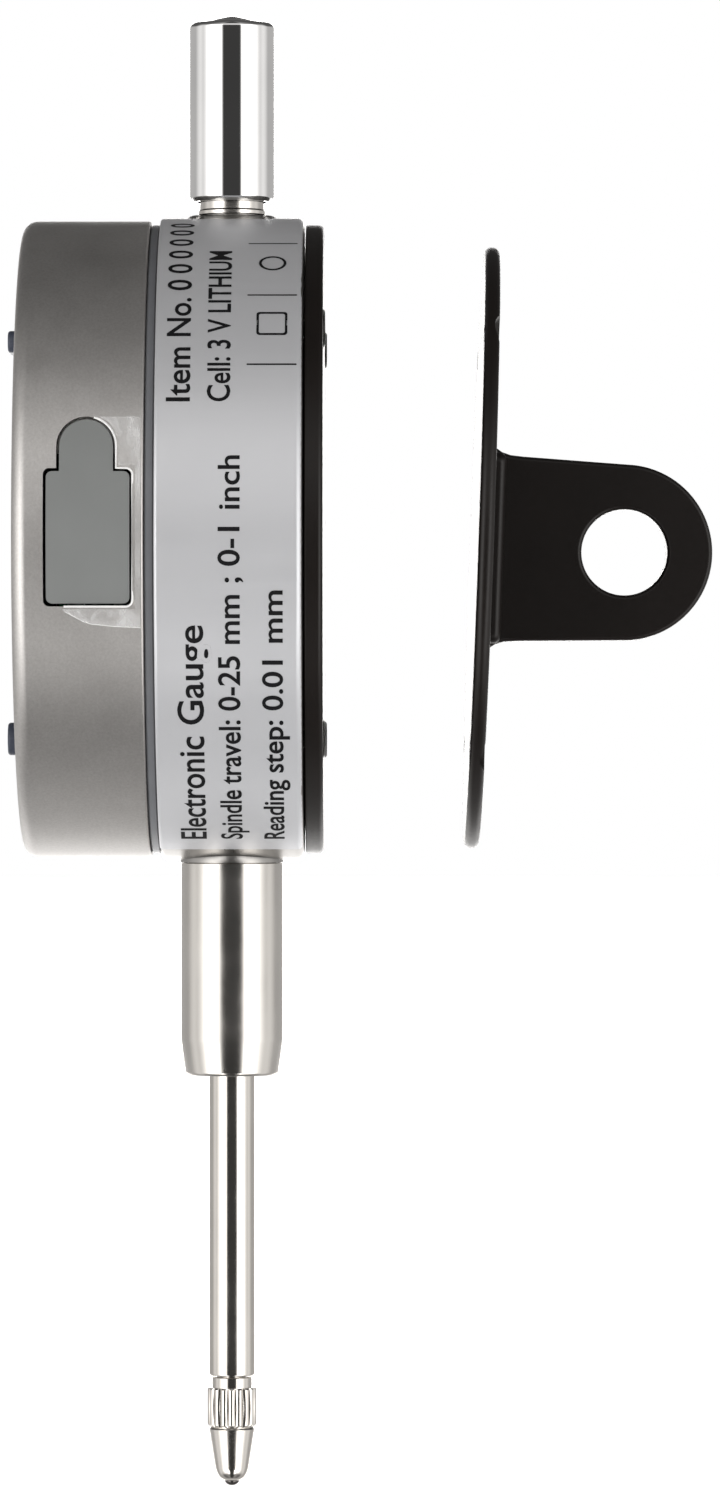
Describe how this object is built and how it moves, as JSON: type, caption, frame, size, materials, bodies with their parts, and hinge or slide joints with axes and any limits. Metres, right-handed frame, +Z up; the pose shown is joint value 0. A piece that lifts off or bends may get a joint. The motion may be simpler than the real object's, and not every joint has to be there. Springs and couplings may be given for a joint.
{
  "type": "dial indicator",
  "caption": "Electronic dial indicator: round case with a turning display unit, clamp stem, sprung spindle with a screw-in contact point, and a spare lug back.",
  "frame": {"origin": "on the spindle's axis, half-way down the clamp stem", "axes": "+Z up along the spindle towards the dust cap, the display facing -Y, the label side +X"},
  "size_m": [0.0598, 0.0652, 0.1373],
  "materials": {
    "case_metal": "bright turned aluminium",
    "bezel_metal": "satin silver, fine blasted grain",
    "foil_label": "silver foil sticker with black lettering",
    "stem_steel": "ground steel",
    "spindle_steel": "fine ground steel",
    "chrome_cap": "polished chrome",
    "bronze_bush": "sintered bronze",
    "black_enamel": "satin black enamel",
    "black_screw": "blackened steel",
    "steel_screw": "plain steel",
    "spring_steel": "spring wire and strip",
    "board_green": "green circuit board",
    "carriage_brass": "machined brass",
    "black_polymer": "moulded black",
    "black_rubber": "black rubber",
    "port_grey": "soft grey moulding, fine matt texture",
    "button_blue_grey": "dark blue-grey moulding",
    "clear_window": "clear window",
    "display_glass": "grey-green display",
    "face_silver": "silver face",
    "ribbon_amber": "amber film cable",
    "carbide": "polished dark carbide",
    "battery_steel": "coin cell"
  },
  "bodies": {
    "case": {"rear_case": "case_metal", "label": "foil_label", "back_cover": "black_enamel", "back_screw_1": "black_screw", "back_screw_2": "black_screw", "back_screw_3": "black_screw", "back_screw_4": "black_screw", "stem": "stem_steel", "stem_bush": "bronze_bush", "upper_bush": "stem_steel", "stop_ring": "black_rubber", "sensor_board": "board_green", "sensor_screw_1": "steel_screw", "sensor_screw_2": "steel_screw", "guide_rail": "steel_screw", "return_spring": "spring_steel", "spring_anchor": "steel_screw", "slip_ring": "black_polymer", "circlip": "spring_steel", "flex_ribbon": "ribbon_amber"},
    "cap": {"dust_cap": "chrome_cap"},
    "spindle": {"spindle": "spindle_steel", "contact_point": "spindle_steel", "contact_insert": "carbide", "carriage": "carriage_brass", "clamp_screw": "steel_screw", "guide_pin": "steel_screw", "spring_hook_pin": "steel_screw", "scale_strip": "board_green"},
    "display": {"front_housing": "bezel_metal", "face_panel": "face_silver", "lens": "clear_window", "lcd_glass": "display_glass", "lcd_frame": "black_polymer", "contact_strip_upper": "black_rubber", "contact_strip_lower": "black_rubber", "main_board": "board_green", "board_screw_1": "steel_screw", "board_screw_2": "steel_screw", "board_screw_3": "steel_screw", "board_screw_4": "steel_screw", "key_switch_1": "black_polymer", "key_switch_2": "black_polymer", "key_switch_3": "black_polymer", "key_switch_4": "black_polymer", "battery_contact": "spring_steel", "data_socket": "black_polymer"},
    "battery_drawer": {"battery_tray": "black_polymer", "battery": "battery_steel"},
    "port_cover": {"port_cover": "port_grey"},
    "lug_back": {"lug_back": "black_enamel"},
    "button_1": {"button_1": "button_blue_grey"},
    "button_2": {"button_2": "button_blue_grey"},
    "button_3": {"button_3": "button_blue_grey"},
    "button_4": {"button_4": "button_blue_grey"}
  },
  "joints": [
    {"name": "spindle_travel", "type": "slide", "parent": "case", "child": "spindle", "axis": [0, 0, 1], "range_m": [0, 0.0254], "stiffness_N_per_m": 30, "springref_m": -0.03, "deforming": ["return_spring"]},
    {"name": "cap_lift", "type": "slide", "parent": "case", "child": "cap", "axis": [0, 0, 1], "range_m": [0, 0.02]},
    {"name": "display_turn", "type": "hinge", "parent": "case", "child": "display", "pos_m": [0, 0, 0.04], "axis": [0, 1, 0], "range_deg": [-135, 135]},
    {"name": "battery_drawer_slide", "type": "slide", "parent": "display", "child": "battery_drawer", "axis": [-1, 0, 0], "range_m": [0, 0.024]},
    {"name": "port_cover_pull", "type": "slide", "parent": "display", "child": "port_cover", "axis": [1, 0, 0], "range_m": [0, 0.008]},
    {"name": "lug_back_fit", "type": "slide", "parent": "case", "child": "lug_back", "axis": [0, 1, 0], "range_m": [-0.0126, 0]},
    {"name": "button_1_press", "type": "slide", "parent": "display", "child": "button_1", "axis": [0, 1, 0], "range_m": [0, 0.0004], "stiffness_N_per_m": 400, "springref_m": -0.0005},
    {"name": "button_2_press", "type": "slide", "parent": "display", "child": "button_2", "axis": [0, 1, 0], "range_m": [0, 0.0004], "stiffness_N_per_m": 400, "springref_m": -0.0005},
    {"name": "button_3_press", "type": "slide", "parent": "display", "child": "button_3", "axis": [0, 1, 0], "range_m": [0, 0.0004], "stiffness_N_per_m": 400, "springref_m": -0.0005},
    {"name": "button_4_press", "type": "slide", "parent": "display", "child": "button_4", "axis": [0, 1, 0], "range_m": [0, 0.0004], "stiffness_N_per_m": 400, "springref_m": -0.0005}
  ]
}
